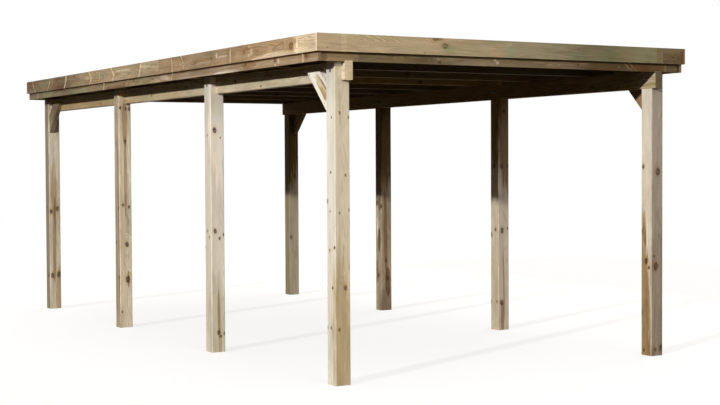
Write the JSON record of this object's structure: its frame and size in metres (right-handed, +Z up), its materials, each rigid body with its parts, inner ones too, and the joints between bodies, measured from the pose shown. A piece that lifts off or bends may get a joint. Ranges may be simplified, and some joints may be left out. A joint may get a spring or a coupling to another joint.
{
  "type": "carport",
  "caption": "Open timber carport: two rows of square posts, notched side beams with corner braces, cross rafters and a flat sheet roof behind two-tier edge boards.",
  "frame": {"origin": "middle of the footprint, on the level floor the posts stand on", "axes": "+Y along the carport from the drive-in front to the rear, +X across it to the right as seen from the front, +Z up"},
  "size_m": [3.32, 6.4305, 2.43],
  "materials": {
    "post_timber": "planed, pressure-treated pine",
    "beam_timber": "planed, pressure-treated pine",
    "brace_timber": "planed, pressure-treated pine",
    "rafter_timber": "planed, pressure-treated pine",
    "upper_board_timber": "planed, pressure-treated pine",
    "lower_board_timber": "planed, pressure-treated pine",
    "roof_sheet": "satin, coated steel sheet",
    "fixings": "galvanised"
  },
  "bodies": {
    "root": {"beam_left": "beam_timber", "beam_right": "beam_timber", "brace_left_front": "brace_timber", "brace_left_rear": "brace_timber", "brace_right_front": "brace_timber", "brace_right_rear": "brace_timber", "lower_board_front_long": "lower_board_timber", "lower_board_front_short": "lower_board_timber", "lower_board_left_long": "lower_board_timber", "lower_board_left_short": "lower_board_timber", "lower_board_rear_long": "lower_board_timber", "lower_board_rear_short": "lower_board_timber", "lower_board_right_long": "lower_board_timber", "lower_board_right_short": "lower_board_timber", "post_left_front": "post_timber", "post_left_rear": "post_timber", "post_left_second": "post_timber", "post_left_third": "post_timber", "post_right_front": "post_timber", "post_right_rear": "post_timber", "post_right_second": "post_timber", "post_right_third": "post_timber", "rafter_1": "rafter_timber", "rafter_2": "rafter_timber", "rafter_3": "rafter_timber", "rafter_4": "rafter_timber", "rafter_5": "rafter_timber", "rafter_6": "rafter_timber", "rafter_7": "rafter_timber", "rafter_8": "rafter_timber", "rafter_9": "rafter_timber", "roof_sheet_1": "roof_sheet", "roof_sheet_2": "roof_sheet", "roof_sheet_3": "roof_sheet", "upper_board_front_long": "upper_board_timber", "upper_board_front_short": "upper_board_timber", "upper_board_left_long": "upper_board_timber", "upper_board_left_short": "upper_board_timber", "upper_board_rear_long": "upper_board_timber", "upper_board_rear_short": "upper_board_timber", "upper_board_right_long": "upper_board_timber", "upper_board_right_short": "upper_board_timber"}
  },
  "joints": []
}
